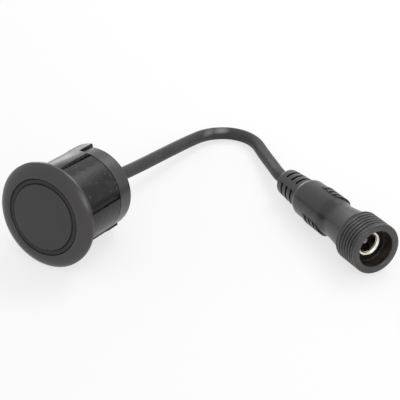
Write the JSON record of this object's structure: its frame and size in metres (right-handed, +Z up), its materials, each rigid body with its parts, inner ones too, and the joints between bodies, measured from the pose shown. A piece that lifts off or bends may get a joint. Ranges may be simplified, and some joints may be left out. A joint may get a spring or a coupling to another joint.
{
  "type": "parking sensor",
  "caption": "Flush-mount ultrasonic parking sensor head with a domed round flange and snap arms, on a short cable to a round screw-collar connector.",
  "frame": {"origin": "on the floor under the middle of the sensor head, flange and cable grommet included", "axes": "+Z up; +Y from the face of the sensor head to its cable; +X to the right as seen from the face. The head lies on its flange rim and on the finger of its lower snap arm; the cable and connector lie behind it and to its right."},
  "size_m": [0.0817, 0.079, 0.0249],
  "materials": {
    "black_polyamide": "fine moulded grain",
    "black_silicone": "matte",
    "painted_aluminium": "matte primer over aluminium",
    "piezo_ceramic": "fired ceramic, matte",
    "grey_felt": "needled felt",
    "tinned_copper": "tinned wire",
    "glass_laminate": "solder mask over glass laminate",
    "tinned_brass": "tin plated",
    "chip_ceramic": "fired ceramic",
    "potting_resin": "cast resin",
    "grey_polyamide": "fine moulded grain",
    "cable_rubber": "satin",
    "core_insulation_brown": "satin",
    "core_insulation_white": "satin",
    "cable_jacket": "satin",
    "overmould_elastomer": "satin with a fine grain",
    "collar_polyamide": "semi-gloss",
    "jack_polymer": "semi-matte",
    "nickel_plate": "bright nickel"
  },
  "bodies": {
    "root": {"housing": "black_polyamide", "decoupling_boot": "black_silicone", "membrane_cup": "painted_aluminium", "piezo_disc": "piezo_ceramic", "absorber_pad": "grey_felt", "signal_lead": "tinned_copper", "ground_lead": "tinned_copper", "terminal_board": "glass_laminate", "terminal_pins": "tinned_brass", "compensation_capacitor": "chip_ceramic", "potting_fill": "potting_resin", "rear_shell": "grey_polyamide", "cable_grommet": "cable_rubber", "sensor_signal_core": "core_insulation_brown", "sensor_screen_core": "core_insulation_white", "cable": "cable_jacket", "connector_body": "overmould_elastomer", "threaded_collar": "collar_polyamide", "jack_insulator": "jack_polymer", "sleeve_contact": "nickel_plate", "pin_insulator": "jack_polymer", "centre_pin": "nickel_plate", "plug_signal_core": "core_insulation_brown", "plug_screen_core": "core_insulation_white"}
  },
  "joints": []
}
